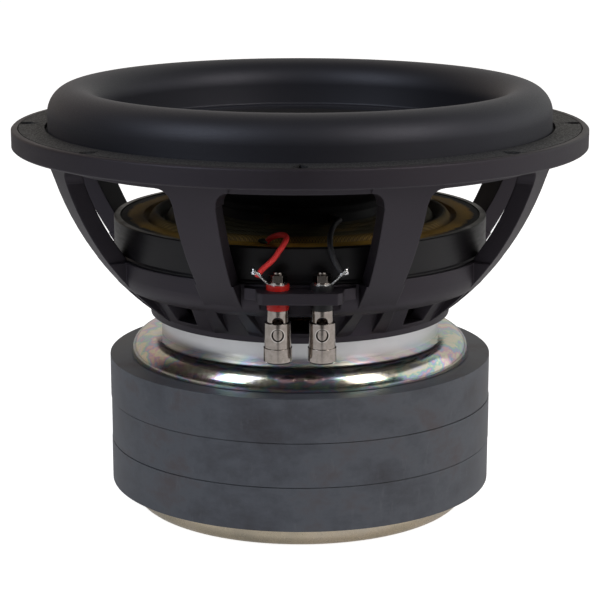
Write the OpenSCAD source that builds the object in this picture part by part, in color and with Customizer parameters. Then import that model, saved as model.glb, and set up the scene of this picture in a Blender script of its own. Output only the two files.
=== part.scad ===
// Car subwoofer driver: cast frame, moving cone and coil, triple magnet stack, push terminals.
// Units are millimetres. The origin is the centre of the back plate's rear face,
// and +Z runs through the pole towards the cone.

/* [Frame] */
// Outside diameter of the mounting flange
flange_d = 266.4; // [250:0.2:330]
// Thickness of the flange under the gasket
flange_t = 6.8; // [5:0.2:10]
// Height of the thin rim that stands round the gasket
rim_h = 2; // [1:0.1:4]
// Width of that rim
rim_w = 3; // [2:0.1:5]
// Distance of the mounting holes in from the flange edge
bolt_inset = 6.2; // [5:0.1:8]
// Diameter of each mounting hole
bolt_hole_d = 5.5; // [4:0.1:7]
// Height of the casting from its foot to the gasket seat
frame_h = 86; // [75:0.5:110]
// Number of spokes, windows and mounting holes
spoke_count = 8; // [6:2:10]
// Radial depth of a spoke
spoke_depth = 8; // [6:0.2:11]
// Angle that one spoke covers, seen along the axis
spoke_angle = 9.8; // [6:0.1:12]
// Radius of the long curve on the outside of each spoke
spoke_curve_r = 137; // [110:1:220]
// Radius in the upper corners of each window
spoke_fillet = 6.5; // [2:0.5:8]
// Depth of the skirt under the flange, over the windows
skirt_h = 4.5; // [2:0.5:8]
// Outside diameter of the foot of the frame
foot_d = 141; // [135:0.5:150]
// Thickness of the floor of the foot
foot_t = 6; // [4:0.5:9]
// Height of the spider shelf above the foot
shelf_h = 30.5; // [27:0.5:36]
// Outside diameter of the spider shelf
shelf_d = 178; // [174:0.5:190]
// Height of the shelf wall
shelf_wall_h = 16; // [12:0.5:18]
// Radius on the lower edge of the shelf wall
shelf_round = 9; // [4:0.5:11]
// Half angle of each cooling slot in the bowl
slot_half_angle = 9.6; // [6:0.1:11]
// Width of the recess between the two ribs of a spoke foot
rib_gap = 10; // [6:0.5:13]

/* [Motor] */
// Outside diameter of the magnet rings
magnet_d = 180; // [165:1:220]
// Bore of the magnet rings
magnet_bore_d = 98; // [92:1:110]
// Thickness of one magnet ring
magnet_h = 20; // [12:0.5:30]
// Thickness of each bond line
bond_t = 0.3; // [0.1:0.1:0.6]
// Diameter of the top plate and the back plate
plate_d = 160; // [150:1:180]
// Thickness of the top plate
top_plate_h = 10; // [8:0.5:14]
// Thickness of the back plate
back_plate_h = 11; // [9:0.5:16]
// Radius on the lower edge of the back plate
back_round = 6.5; // [3:0.5:8]
// Outside diameter of the adapter ring under the frame
adapter_d = 131; // [128:0.5:135]
// Bore of the adapter ring
adapter_bore_d = 104; // [98:0.5:110]
// Height of the adapter ring
adapter_h = 9.8; // [6:0.2:16]
// Diameter of the vent through the pole
vent_d = 30; // [20:1:40]
// How far the pole stands above the top plate
pole_rise = 2; // [0:0.5:6]
// Height of the shorting ring on the pole
shorting_h = 20; // [10:1:30]

/* [Voice coil] */
// Inside diameter of the coil former
former_d = 76.2; // [70:0.1:80]
// Wall of the coil former
former_t = 0.4; // [0.3:0.1:0.8]
// Thickness of one winding
winding_t = 0.8; // [0.5:0.1:1.2]
// Height of the windings
winding_h = 44; // [30:1:50]
// Clearance between the pole and the former
pole_clearance = 0.6; // [0.4:0.1:1]
// Clearance between the outer winding and the top plate
plate_clearance = 1.2; // [0.8:0.1:2]

/* [Suspension] */
// Width of the surround roll over its outside
roll_w = 24.6; // [20:0.2:32]
// Thickness of the surround
surround_t = 1.6; // [1:0.1:2.5]
// Height of the straight leg under the roll
roll_leg = 8.4; // [4:0.2:14]
// Gap between the roll and the gasket
roll_gap = 1.4; // [0.8:0.1:3]
// Width of the lip that is glued to the frame
lip_w = 5.7; // [4:0.1:8]
// Thickness of both spiders
spider_t = 0.6; // [0.4:0.1:1]
// Number of full waves in each spider
spider_waves = 4; // [3:1:6]
// Outside diameter of the spider spacer
spacer_d = 174; // [170:0.5:176]
// Height of the spider spacer
spacer_h = 15.8; // [12:0.2:22]
// Wall of the spider spacer
spacer_wall = 8.5; // [6:0.5:10]
// Thickness of the cone
cone_t = 1.3; // [0.8:0.1:2]
// Diameter of the dust cap
dust_cap_d = 112; // [90:1:125]
// Height of the dust cap dome
dust_cap_h = 14; // [8:0.5:18]

/* [Gasket] */
// Thickness of the gasket
gasket_t = 2; // [1:0.1:4]
// Width of the gasket
gasket_w = 11.8; // [10:0.1:14]
// Width of the keyhole in the gasket at each mounting hole
gasket_hole_d = 7; // [5:0.1:9]

/* [Terminals] */
// Distance from the axis to the terminals
terminal_y = 92.5; // [92:0.5:98]
// Distance between the two terminals of a pair
terminal_pitch = 19; // [16:0.5:24]
// Diameter of the terminal post
post_d = 9.5; // [8:0.1:10]
// Diameter of the wire hole through the post and the sleeve
wire_hole_d = 5; // [3:0.1:5.5]
// Outside diameter of the push sleeve
sleeve_d = 11.6; // [11.4:0.1:13]
// Length of the push sleeve
sleeve_h = 14; // [12:0.5:18]
// Travel of the push sleeve
push_travel = 5.3; // [4:0.1:6]
// Thickness of the terminal tongue
tongue_t = 5; // [3:0.5:6]
// Width of the terminal tongue
tongue_w = 36; // [32:0.5:44]
// Diameter of the flexible leads
lead_d = 2.5; // [1.5:0.1:3]

/* [Fits] */
// Play between parts that slide on each other
running_fit = 0.05; // [0.02:0.01:0.1]
// Gap between glued or dropped-in parts
seat_gap = 0.1; // [0.05:0.05:0.3]
// Clearance of screws in their holes
screw_clearance = 0.5; // [0.2:0.1:1]

/* [Fasteners] */
// Diameter of the screws that hold the frame to the motor
screw_d = 5; // [4:0.5:6]
// Depth of those screws in the top plate
screw_depth = 8; // [5:0.5:9]
// Diameter of the terminal studs
stud_d = 4; // [3:0.5:4]

/* [Hidden] */
$fn = 96;

over = 1;                     // how far a cut runs past the face that it opens
pitch_angle = 360 / spoke_count;

// Heights of the motor, from the back plate up
bond_pitch = magnet_h + bond_t;
top_plate_z = back_plate_h + bond_t + 3 * bond_pitch;
adapter_z = top_plate_z + top_plate_h;
foot_z = adapter_z + adapter_h;
gap_middle_z = top_plate_z + top_plate_h / 2;

// Heights of the frame
seat_z = foot_z + frame_h;
flange_z = seat_z - flange_t;
shelf_z = foot_z + shelf_h;
slot_z = foot_z + 4.8;
slot_top_z = shelf_z - shelf_wall_h;
chin_z = slot_top_z + 5;

// Radii of the frame
flange_r = flange_d / 2;
bolt_r = flange_r - bolt_inset;
gasket_r = flange_r - rim_w - 0.5;
gasket_in_r = gasket_r - gasket_w;
roll_r = gasket_in_r - roll_gap;
roll_tube = roll_w / 2;
roll_mid_r = roll_r - roll_tube;
roll_in_r = roll_r - roll_w;
lip_r = roll_r + lip_w;
flange_in_r = roll_r - 2.6;
spoke_top_r = flange_in_r + 4.9;
foot_r = foot_d / 2;
shelf_r = shelf_d / 2;
spacer_r = spacer_d / 2;
spacer_in_r = spacer_r - spacer_wall;
shelf_in_r = spacer_in_r - 6.5;
wall_t = 5;                   // wall of the bowl between the foot and the shelf

// Heights of the suspension
lip_t = 1.3;
lip_z = seat_z - lip_t - seat_gap;
roll_mid_z = seat_z + roll_leg;
rim_z = lip_z - 1.3;          // top of the cone's rim, under the inner lip
spider_seat = spider_t + 0.4; // rebate in the spacer that takes the upper spider
spider_land = 5.4;            // width of the upper spider's rim on the spacer
upper_spider_z = shelf_z + spacer_h - spider_seat + spider_t / 2;
lower_spider_z = shelf_z + spider_t / 2;

// Radii of the voice coil and the pole
former_in_r = former_d / 2;
former_r = former_in_r + former_t;
inner_winding_r = former_r + winding_t;
outer_winding_r = inner_winding_r + winding_t;
pole_r = former_in_r - pole_clearance;
gap_r = outer_winding_r + plate_clearance;
coil_z = gap_middle_z - winding_h / 2;
former_z = coil_z - 3;
pole_top_z = adapter_z + pole_rise;
shorting_t = 2.5;
shorting_z = back_plate_h + 19;
spigot_d = vent_d + 18;       // spigot of the pole in the back plate

// Cone and dust cap
neck_h = 4;                   // collar of the cone on the former
neck_z = upper_spider_z + 6.4;
cone_rim_r = roll_in_r - 0.5;
cone_rim_w = 5.5;
cone_slope = (rim_z - neck_z - neck_h) / (cone_rim_r - cone_rim_w - former_r - cone_t);
dust_cap_r = dust_cap_d / 2;
dust_cap_z = neck_z + neck_h + cone_slope * (dust_cap_r - former_r - cone_t) + seat_gap;
dome_r = (dust_cap_r * dust_cap_r + dust_cap_h * dust_cap_h) / (2 * dust_cap_h);

// Frame screws
screw_circle_r = (adapter_d + adapter_bore_d) / 4 + 0.9;
screw_head_d = 1.7 * screw_d;
screw_z = adapter_z - screw_depth;

// Terminals, measured from the tongue
tongue_top_z = shelf_z - 0.9;
tongue_z = tongue_top_z - tongue_t;
tongue_out_y = terminal_y + 9;
lower_insulator_h = 3.8;
upper_insulator_h = 2.2;
post_top_z = tongue_z - lower_insulator_h;
sleeve_top_z = post_top_z - push_travel - 0.2;
sleeve_lip_h = 1.2;
wire_hole_z = sleeve_top_z + 0.5;
sleeve_hole_z = wire_hole_z - push_travel;
shoulder_z = sleeve_top_z - sleeve_lip_h - running_fit;
post_z = sleeve_top_z - 7.5;
sleeve_in_r = sleeve_d / 2 - 0.6;
shoulder_r = sleeve_in_r - running_fit;
sleeve_z = sleeve_top_z - sleeve_h;
cap_wall = 0.4;
cap_r = sleeve_d / 2 + cap_wall;
cap_grip = 3;                 // length of sleeve held in the cap
cap_floor = 1.6;
cap_z = sleeve_z + cap_grip - 6.7;
lug_z = tongue_top_z + upper_insulator_h;
lug_t = 0.6;
washer_h = 0.6;
washer_r = 3.8;
nut_h = 3.2;
nut_w = 7;                    // across the flats
stud_z = lug_z + lug_t + washer_h + nut_h + 1;
tongue_hole_d = stud_d + 2;
spring_wire_d = 0.6;
spring_turns = 4;

// Route of the red lead above the shelf: from its lug, over the spacer, to the spider
red_route = [
  [-18.2, -92.5, 4.5], [-17.6, -92.4, 5.9], [-16.0, -92.0, 7.7], [-14.2, -91.5, 9.3],
  [-12.3, -91.0, 10.9], [-10.6, -90.4, 12.7], [-9.2, -89.6, 14.7], [-7.8, -88.6, 16.5],
  [-6.6, -86.8, 18.1], [-5.9, -84.4, 19.1], [-5.9, -81.8, 19.8], [-7.0, -79.6, 20.1],
  [-9.0, -77.8, 19.8], [-11.3, -76.4, 18.9], [-13.4, -75.3, 17.5], [-14.8, -74.6, 15.5]
];
// Route of the black lead above the shelf: from its lug, over the spacer, to the coil former
black_route = [
  [18.2, -92.5, 4.5], [17.8, -92.4, 5.9], [16.4, -92.0, 8.1], [15.0, -91.4, 10.7],
  [13.9, -90.4, 13.5], [13.1, -88.6, 16.1], [12.8, -86.0, 18.1], [12.9, -82.4, 19.7],
  [13.4, -78.0, 20.9], [14.0, -73.0, 21.7], [15.0, -67.0, 22.2], [16.3, -60.6, 22.2],
  [17.4, -54.0, 21.7], [17.6, -48.0, 20.7], [17.0, -42.6, 19.8], [15.4, -36.6, 19.5]
];
leadout_angles = [-112.8, -67.2, 67.2, 112.8];

function unit(v) = v / norm(v);
function heading(path, i) =
  unit(path[min(i + 1, len(path) - 1)] - path[max(i - 1, 0)]);
function ring(centre, along, r, sides) =
  let (side = unit(cross([0, 0, 1], along)), rise = cross(along, side))
  [for (k = [0 : sides - 1]) centre + r * (cos(360 * k / sides) * side + sin(360 * k / sides) * rise)];
// Centre of the circle of radius r through two points, on the side of the axis
function curve_centre(top, low, r) =
  let (middle = (top + low) / 2, run = low - top, half = norm(run) / 2)
  middle - sqrt(r * r - half * half) * [-run[1], run[0]] / norm(run);

module sweep(path, r, sides) {
  last = len(path) - 1;
  points = [for (i = [0 : last]) each ring(path[i], heading(path, i), r, sides)];
  walls = [for (i = [0 : last - 1], k = [0 : sides - 1]) let (next = (k + 1) % sides)
    [i * sides + k, (i + 1) * sides + k, (i + 1) * sides + next, i * sides + next]];
  start = [for (k = [0 : sides - 1]) k];
  end = [for (k = [sides - 1 : -1 : 0]) last * sides + k];
  polyhedron(points = points, faces = concat([start], walls, [end]));
}

module tube(r_in, r_out, z, h) {
  translate([0, 0, z]) difference() {
    cylinder(r = r_out, h = h);
    translate([0, 0, -over]) cylinder(r = r_in, h = h + 2 * over);
  }
}

// Half section of a disc with a radius on its lower edge
module rounded_disc(r, h, round_r) {
  square([r - round_r, h]);
  translate([0, round_r]) square([r, h - round_r]);
  intersection() {
    translate([r - round_r, round_r]) circle(r = round_r);
    square([r, h]);
  }
}

// Child placed at each spoke, with +X pointing outwards along it
module at_spokes() {
  for (i = [0 : spoke_count - 1]) rotate([0, 0, -90 + (i + 0.5) * pitch_angle]) children();
}

// Child placed at each window between two spokes
module at_windows() {
  for (i = [0 : spoke_count - 1]) rotate([0, 0, -90 + i * pitch_angle]) children();
}

// Child placed at one terminal: rear is 0 or 1, side is -1 for red and 1 for black
module at_terminal(rear, side) {
  rotate([0, 0, 180 * rear]) translate([side * terminal_pitch / 2, -terminal_y, 0]) children();
}

module at_all_terminals() {
  for (rear = [0, 1], side = [-1, 1]) at_terminal(rear, side) children();
}

// ---- Frame ----

spoke_arc = curve_centre([spoke_top_r, flange_z], [foot_r - 4.1, foot_z], spoke_curve_r);

module flange_section() {
  edge = 0.6;
  polygon([
    [flange_in_r, flange_z], [flange_r - edge, flange_z], [flange_r, flange_z + edge],
    [flange_r, seat_z + rim_h - edge], [flange_r - edge, seat_z + rim_h],
    [flange_r - rim_w, seat_z + rim_h], [flange_r - rim_w, seat_z],
    [lip_r + seat_gap, seat_z], [lip_r + seat_gap, lip_z], [flange_in_r, lip_z]
  ]);
}

module bowl_section() {
  bowl_top_r = shelf_r - 11;
  polygon([
    [0, foot_z], [foot_r, foot_z], [foot_r, foot_z + 2.5], [bowl_top_r, slot_top_z], [0, slot_top_z]
  ]);
  translate([0, slot_top_z]) rounded_disc(shelf_r, shelf_wall_h, shelf_round);
}

module bowl_hollow() {
  floor_z = foot_z + foot_t;
  rotate_extrude() polygon([
    [0, floor_z], [foot_r - wall_t, floor_z], [shelf_in_r, slot_top_z + 2],
    [shelf_in_r, shelf_z + over], [0, shelf_z + over]
  ]);
  translate([0, 0, foot_z - over]) cylinder(r = adapter_bore_d / 2 + 3, h = foot_t + 2 * over);
  translate([0, 0, shelf_z]) cylinder(r = spacer_r + 1.2, h = spacer_h);
}

// Side view of a spoke: a band between two arcs, filled below the shelf
module spoke_section() {
  intersection() {
    translate(spoke_arc) circle(r = spoke_curve_r, $fn = 180);
    union() {
      difference() {
        translate([shelf_in_r, shelf_z - over]) square([flange_r, flange_z - shelf_z + 2 * over]);
        translate(spoke_arc) circle(r = spoke_curve_r - spoke_depth, $fn = 180);
      }
      translate([foot_r - wall_t, foot_z]) square([spoke_curve_r, shelf_h]);
    }
  }
}

// Front view of a spoke foot: it widens towards the bottom round the recess
module foot_outline() {
  top_w = 2 * shelf_r * tan(spoke_angle / 2) + 3;
  foot_w = top_w + 8;
  difference() {
    polygon([
      [-foot_w / 2, foot_z], [foot_w / 2, foot_z], [top_w / 2, chin_z], [top_w / 2, shelf_z],
      [-top_w / 2, shelf_z], [-top_w / 2, chin_z]
    ]);
    translate([-rib_gap / 2, foot_z - over]) square([rib_gap, chin_z - foot_z + over]);
  }
}

module spoke_wedge() {
  reach = flange_r;
  half_w = reach * tan(spoke_angle / 2);
  translate([0, 0, shelf_z - 0.5]) linear_extrude(flange_z - shelf_z + 0.5 + over)
    polygon([[0, 0], [reach, -half_w], [reach, half_w]]);
}

module spoke_fillets() {
  half_w = spoke_top_r * tan(spoke_angle / 2);
  centre_z = flange_z - skirt_h - spoke_fillet + 0.2;
  translate([flange_in_r - 13, 0, 0]) rotate([90, 0, 90])
    linear_extrude(flange_r - flange_in_r) difference() {
      translate([-half_w - spoke_fillet, centre_z])
        square([2 * (half_w + spoke_fillet), spoke_fillet + skirt_h + over]);
      for (side = [-1, 1])
        translate([side * (half_w + spoke_fillet), centre_z]) circle(r = spoke_fillet);
    }
}

module spokes() {
  at_spokes() intersection() {
    rotate([90, 0, 0]) linear_extrude(4 * spoke_top_r * tan(spoke_angle), center = true) spoke_section();
    union() {
      spoke_wedge();
      spoke_fillets();
      rotate([90, 0, 90]) linear_extrude(flange_r) foot_outline();
    }
  }
}

module skirt() {
  rotate_extrude($fn = 180) intersection() {
    spoke_section();
    translate([0, flange_z - skirt_h]) square([flange_r, skirt_h + over / 2]);
  }
}

module tongue() {
  shoulder_w = tongue_w + 12;
  corner = 2;
  translate([0, 0, tongue_z]) linear_extrude(tongue_t) polygon([
    [-shoulder_w / 2, -shelf_in_r - 2], [-shoulder_w / 2, -terminal_y + 3],
    [-tongue_w / 2 - 1, -terminal_y], [-tongue_w / 2, -tongue_out_y + corner],
    [-tongue_w / 2 + corner, -tongue_out_y], [tongue_w / 2 - corner, -tongue_out_y],
    [tongue_w / 2, -tongue_out_y + corner], [tongue_w / 2 + 1, -terminal_y],
    [shoulder_w / 2, -terminal_y + 3], [shoulder_w / 2, -shelf_in_r - 2]
  ]);
}

// Room behind the push sleeves, under the tongue, and behind the terminal nuts above it
module terminal_room() {
  room_w = terminal_pitch + sleeve_d + 4;
  back = terminal_y - cap_r - 0.3;
  translate([-room_w / 2, -tongue_out_y, foot_z - over])
    cube([room_w, tongue_out_y - back, tongue_z - foot_z + over]);
  for (side = [-1, 1]) translate([side * terminal_pitch / 2, -terminal_y, tongue_top_z])
    cylinder(d = post_d + 1.5, h = shelf_z - tongue_top_z + over);
}

module frame() {
  color([0.11, 0.105, 0.115]) difference() {
    union() {
      difference() {
        union() {
          rotate_extrude($fn = 180) bowl_section();
          spokes();
          skirt();
        }
        bowl_hollow();
        for (rear = [0, 1]) rotate([0, 0, 180 * rear]) terminal_room();
      }
      rotate_extrude($fn = 180) flange_section();
      difference() {
        for (rear = [0, 1]) rotate([0, 0, 180 * rear]) tongue();
        at_all_terminals() {
          translate([0, 0, tongue_z - over]) cylinder(d = tongue_hole_d, h = tongue_t + 2 * over);
        }
      }
    }
    at_windows() {
      translate([0, 0, slot_z]) linear_extrude(slot_top_z - slot_z) polygon([
        [foot_r - 16, 0], [shelf_r + 8, -(shelf_r + 8) * tan(slot_half_angle)],
        [shelf_r + 8, (shelf_r + 8) * tan(slot_half_angle)]
      ]);
      translate([bolt_r, 0, flange_z - over]) cylinder(d = bolt_hole_d, h = flange_t + 2 * over);
    }
    at_spokes() translate([screw_circle_r, 0, foot_z - over])
      cylinder(d = screw_d + screw_clearance, h = foot_t + 2 * over);
  }
}

module mounting_gasket() {
  tail_r = gasket_in_r + 2.6;
  color([0.13, 0.13, 0.135]) translate([0, 0, seat_z]) linear_extrude(gasket_t) difference() {
    circle(r = gasket_r, $fn = 180);
    circle(r = gasket_in_r, $fn = 180);
    at_windows() {
      translate([bolt_r, 0]) circle(d = gasket_hole_d);
      polygon([[tail_r, 0], [bolt_r, -gasket_hole_d / 2], [bolt_r, gasket_hole_d / 2]]);
    }
  }
}

// ---- Suspension ----

module surround() {
  color([0.07, 0.07, 0.078]) rotate_extrude($fn = 180) {
    intersection() {
      translate([roll_mid_r, roll_mid_z]) difference() {
        circle(r = roll_tube);
        circle(r = roll_tube - surround_t);
      }
      translate([roll_in_r, roll_mid_z]) square([roll_w, roll_tube]);
    }
    translate([roll_r - surround_t, lip_z]) square([surround_t, roll_mid_z - lip_z]);
    translate([roll_r - surround_t, lip_z]) square([lip_w + surround_t, lip_t]);
    translate([roll_in_r, rim_z]) square([surround_t, roll_mid_z - rim_z]);
    translate([cone_rim_r - cone_rim_w, rim_z]) square([cone_rim_w + surround_t, lip_t]);
  }
}

// One wave of a spider: a half circle up and a half circle down
module spider_wave(width) {
  r = width / 4;
  for (half = [0, 1]) translate([r + 2 * r * half, 0]) intersection() {
    difference() {
      circle(r = r + spider_t / 2);
      circle(r = r - spider_t / 2);
    }
    translate([-2 * r, half == 0 ? 0 : -2 * r]) square([4 * r, 2 * r]);
  }
}

module spider(z, rolls_out_r, out_r) {
  rolls_in_r = former_r + 3.5;
  wave_w = (rolls_out_r - rolls_in_r) / spider_waves;
  collar_in_r = former_r + 0.5;
  rotate_extrude($fn = 120) translate([0, z]) {
    translate([collar_in_r, -spider_t / 2]) square([rolls_in_r - collar_in_r + 0.1, spider_t]);
    translate([collar_in_r, -1.5]) square([spider_t, 3.6]);
    for (i = [0 : spider_waves - 1]) translate([rolls_in_r + i * wave_w, 0]) spider_wave(wave_w);
    translate([rolls_out_r - 0.1, -spider_t / 2]) square([out_r - rolls_out_r + 0.1, spider_t]);
  }
}

module upper_spider() {
  color([0.72, 0.55, 0.16]) spider(upper_spider_z, spacer_in_r - 5, spacer_in_r + spider_land);
}

module lower_spider() {
  color([0.72, 0.55, 0.16]) spider(lower_spider_z, shelf_in_r - 1, spacer_in_r - 0.3);
}

module spider_spacer() {
  rebate_r = spacer_in_r + spider_land + 0.2;
  color([0.06, 0.06, 0.065]) rotate_extrude($fn = 180) translate([0, shelf_z]) polygon([
    [spacer_in_r, 0], [spacer_r + 0.7, 0], [spacer_r + 0.7, 0.8], [spacer_r, 1.6],
    [spacer_r, spacer_h - 0.4], [spacer_r - 0.4, spacer_h], [rebate_r, spacer_h],
    [rebate_r, spacer_h - spider_seat], [spacer_in_r, spacer_h - spider_seat]
  ]);
}

// ---- Motor ----

module top_plate() {
  plate_r = plate_d / 2;
  color([0.72, 0.70, 0.62]) difference() {
    rotate_extrude($fn = 180) translate([0, top_plate_z]) difference() {
      union() {
        square([plate_r - top_plate_h, top_plate_h]);
        intersection() {
          translate([plate_r - top_plate_h, 0]) circle(r = top_plate_h);
          square([plate_r, top_plate_h]);
        }
      }
      translate([-over, -over]) square([gap_r + over, top_plate_h + 2 * over]);
    }
    at_spokes() translate([screw_circle_r, 0, screw_z]) cylinder(d = screw_d, h = screw_depth + over);
  }
}

module adapter_ring() {
  color([0.78, 0.78, 0.80]) difference() {
    tube(adapter_bore_d / 2, adapter_d / 2, adapter_z, adapter_h, $fn = 180);
    at_spokes() translate([screw_circle_r, 0, adapter_z - over])
      cylinder(d = screw_d + screw_clearance, h = adapter_h + 2 * over);
  }
}

// The rings are bonded by hand, so each sits a touch off centre
module magnet(place, shift) {
  translate(shift) color([0.23, 0.24, 0.27])
    tube(magnet_bore_d / 2, magnet_d / 2, back_plate_h + bond_t + place * bond_pitch, magnet_h, $fn = 180);
}

module magnet_lower() {
  magnet(0, [0, 0, 0]);
}

module magnet_middle() {
  magnet(1, [0.15, 0.1, 0]);
}

module magnet_upper() {
  magnet(2, [-0.1, 0.1, 0]);
}

module magnet_adhesive() {
  color([0.08, 0.08, 0.09]) for (i = [0 : 3]) {
    outer_r = (i == 0 || i == 3 ? plate_d : magnet_d) / 2 - 0.6;
    tube(magnet_bore_d / 2 + 1, outer_r, back_plate_h + i * bond_pitch, bond_t, $fn = 120);
  }
}

module back_plate() {
  flare = 4;
  color([0.78, 0.72, 0.55]) rotate_extrude($fn = 180) difference() {
    rounded_disc(plate_d / 2, back_plate_h, back_round);
    translate([-over, -over]) square([vent_d / 2 + over, back_plate_h + 2 * over]);
    translate([-over, flare]) square([spigot_d / 2 + over, back_plate_h]);
    polygon([[0, -0.01], [vent_d / 2 + flare, -0.01], [vent_d / 2, flare], [0, flare]]);
  }
}

module pole_piece() {
  flare = 4;
  color([0.70, 0.69, 0.66]) rotate_extrude($fn = 180) difference() {
    union() {
      translate([0, flare]) square([spigot_d / 2, back_plate_h]);
      translate([0, back_plate_h]) square([pole_r, pole_top_z - back_plate_h]);
    }
    translate([-over, 0]) square([vent_d / 2 + over, pole_top_z + over]);
    translate([pole_r - shorting_t, shorting_z]) square([shorting_t + over, shorting_h]);
    polygon([
      [pole_r - 2, pole_top_z + 0.01], [pole_r + over, pole_top_z + 0.01],
      [pole_r + over, pole_top_z - 2 - over]
    ]);
  }
}

module shorting_ring() {
  color([0.80, 0.80, 0.81]) tube(pole_r - shorting_t, pole_r, shorting_z, shorting_h);
}

module frame_screws() {
  head_h = screw_d;
  color([0.10, 0.10, 0.11]) at_spokes() translate([screw_circle_r, 0, 0]) {
    translate([0, 0, screw_z]) cylinder(d = screw_d, h = foot_z + foot_t - screw_z);
    translate([0, 0, foot_z + foot_t]) difference() {
      cylinder(d = screw_head_d, h = head_h);
      translate([0, 0, head_h / 2]) cylinder(d = 0.92 * screw_d, h = head_h, $fn = 6);
    }
  }
}

// ---- Cone and coil ----

module cone() {
  collar_r = former_r + seat_gap;
  slope_r = cone_rim_r - cone_rim_w;
  color([0.05, 0.05, 0.055]) rotate_extrude($fn = 180) polygon([
    [collar_r, neck_z], [collar_r + cone_t, neck_z], [collar_r + cone_t, neck_z + neck_h - cone_t],
    [slope_r + cone_t, rim_z - cone_t], [cone_rim_r, rim_z - cone_t], [cone_rim_r, rim_z],
    [slope_r, rim_z], [collar_r + cone_t, neck_z + neck_h], [collar_r, neck_z + neck_h]
  ]);
}

module dust_cap() {
  color([0.05, 0.05, 0.055]) rotate_extrude($fn = 180) intersection() {
    translate([0, dust_cap_z + dust_cap_h - dome_r]) difference() {
      circle(r = dome_r, $fn = 180);
      circle(r = dome_r - cone_t, $fn = 180);
    }
    translate([0, dust_cap_z]) square([dust_cap_r, dust_cap_h]);
  }
}

module coil_former() {
  color([0.86, 0.80, 0.66]) tube(former_in_r, former_r, former_z, neck_z + neck_h - former_z);
}

module inner_winding() {
  color([0.72, 0.42, 0.20]) tube(former_r, inner_winding_r, coil_z, winding_h);
}

module outer_winding() {
  color([0.72, 0.42, 0.20]) tube(inner_winding_r, outer_winding_r, coil_z, winding_h);
}

// Flat copper strips from the windings up the former to the leads
module coil_leadouts() {
  strip_w = 3;
  strip_t = 0.3;
  color([0.72, 0.42, 0.20]) for (angle = leadout_angles) rotate([0, 0, angle]) intersection() {
    tube(former_r, former_r + strip_t, coil_z + winding_h, neck_z - 0.5 - coil_z - winding_h);
    translate([0, -strip_w / 2, coil_z]) cube([former_d, strip_w, neck_z]);
  }
}

// ---- Terminals ----

module post() {
  color([0.80, 0.78, 0.74]) difference() {
    union() {
      translate([0, 0, shoulder_z - running_fit]) cylinder(d = post_d, h = post_top_z - shoulder_z + running_fit);
      translate([0, 0, post_z]) cylinder(r = shoulder_r, h = shoulder_z - post_z);
      translate([0, 0, post_top_z]) cylinder(d = stud_d, h = stud_z - post_top_z);
    }
    translate([0, 0, wire_hole_z]) rotate([90, 0, 0]) cylinder(d = wire_hole_d, h = 2 * sleeve_d, center = true);
  }
}

module sleeve() {
  color([0.80, 0.78, 0.74]) difference() {
    translate([0, 0, sleeve_z]) cylinder(d = sleeve_d, h = sleeve_h);
    translate([0, 0, sleeve_z - over]) cylinder(r = sleeve_in_r, h = sleeve_h - sleeve_lip_h + over);
    translate([0, 0, sleeve_z]) cylinder(r = post_d / 2 + running_fit, h = sleeve_h + over);
    translate([0, 0, sleeve_hole_z]) rotate([90, 0, 0])
      cylinder(d = wire_hole_d, h = 2 * sleeve_d, center = true);
  }
}

module sleeve_cap() {
  height = sleeve_z + cap_grip - cap_z;
  edge = 0.8;
  color([0.80, 0.78, 0.74]) translate([0, 0, cap_z]) rotate_extrude() difference() {
    polygon([[0, 0], [cap_r - edge, 0], [cap_r, edge], [cap_r, height], [0, height]]);
    translate([-over, cap_floor]) square([sleeve_in_r + over, height]);
    translate([-over, sleeve_z - cap_z]) square([sleeve_d / 2 + over, height]);
  }
}

module spring() {
  low = cap_z + cap_floor + spring_wire_d / 2;
  high = post_z - spring_wire_d / 2;
  coil_r = sleeve_in_r - 1;
  steps = 12;
  total = spring_turns * steps;
  color([0.65, 0.65, 0.66]) sweep([for (i = [0 : total]) [
    coil_r * cos(360 * i / steps), coil_r * sin(360 * i / steps), low + (high - low) * i / total
  ]], spring_wire_d / 2, 6);
}

// A washer under the tongue and one above it, each with a boss in the tongue's hole
module insulators() {
  bore_r = stud_d / 2 + seat_gap / 2;
  boss_r = tongue_hole_d / 2 - seat_gap / 2;
  boss_h = tongue_t / 2 - 0.2;
  tube(bore_r, post_d / 2, post_top_z, lower_insulator_h);
  tube(bore_r, boss_r, tongue_z, boss_h);
  tube(bore_r, post_d / 2 + 0.25, tongue_top_z, upper_insulator_h);
  tube(bore_r, boss_r, tongue_top_z - boss_h, boss_h);
}

// Ring plate on the stud with a tab bent up at 45 degrees, away from the other lug
module lug(side) {
  plate_r = washer_r + 0.3;
  tab_w = 4;
  tab_l = 10.2;
  color([0.82, 0.82, 0.82]) translate([0, 0, lug_z]) mirror([side < 0 ? 1 : 0, 0, 0]) {
    difference() {
      union() {
        cylinder(r = plate_r, h = lug_t);
        translate([0, -tab_w / 2, 0]) cube([plate_r, tab_w, lug_t]);
      }
      translate([0, 0, -over]) cylinder(r = stud_d / 2 + seat_gap / 2, h = lug_t + 2 * over);
    }
    translate([plate_r + 0.1, 0, 0]) rotate([0, -45, 0]) difference() {
      union() {
        translate([0, -tab_w / 2, 0]) cube([tab_l - tab_w / 2, tab_w, lug_t]);
        translate([tab_l - tab_w / 2, 0, 0]) cylinder(d = tab_w, h = lug_t);
      }
      translate([tab_l - tab_w / 2, 0, -over]) cylinder(d = 1.6, h = lug_t + 2 * over);
    }
  }
}

module terminal_nuts() {
  color([0.80, 0.79, 0.76]) at_all_terminals() translate([0, 0, lug_z + lug_t + washer_h]) difference() {
    cylinder(d = nut_w / cos(30), h = nut_h, $fn = 6);
    translate([0, 0, -over]) cylinder(r = stud_d / 2, h = nut_h + 2 * over);
  }
}

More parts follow.
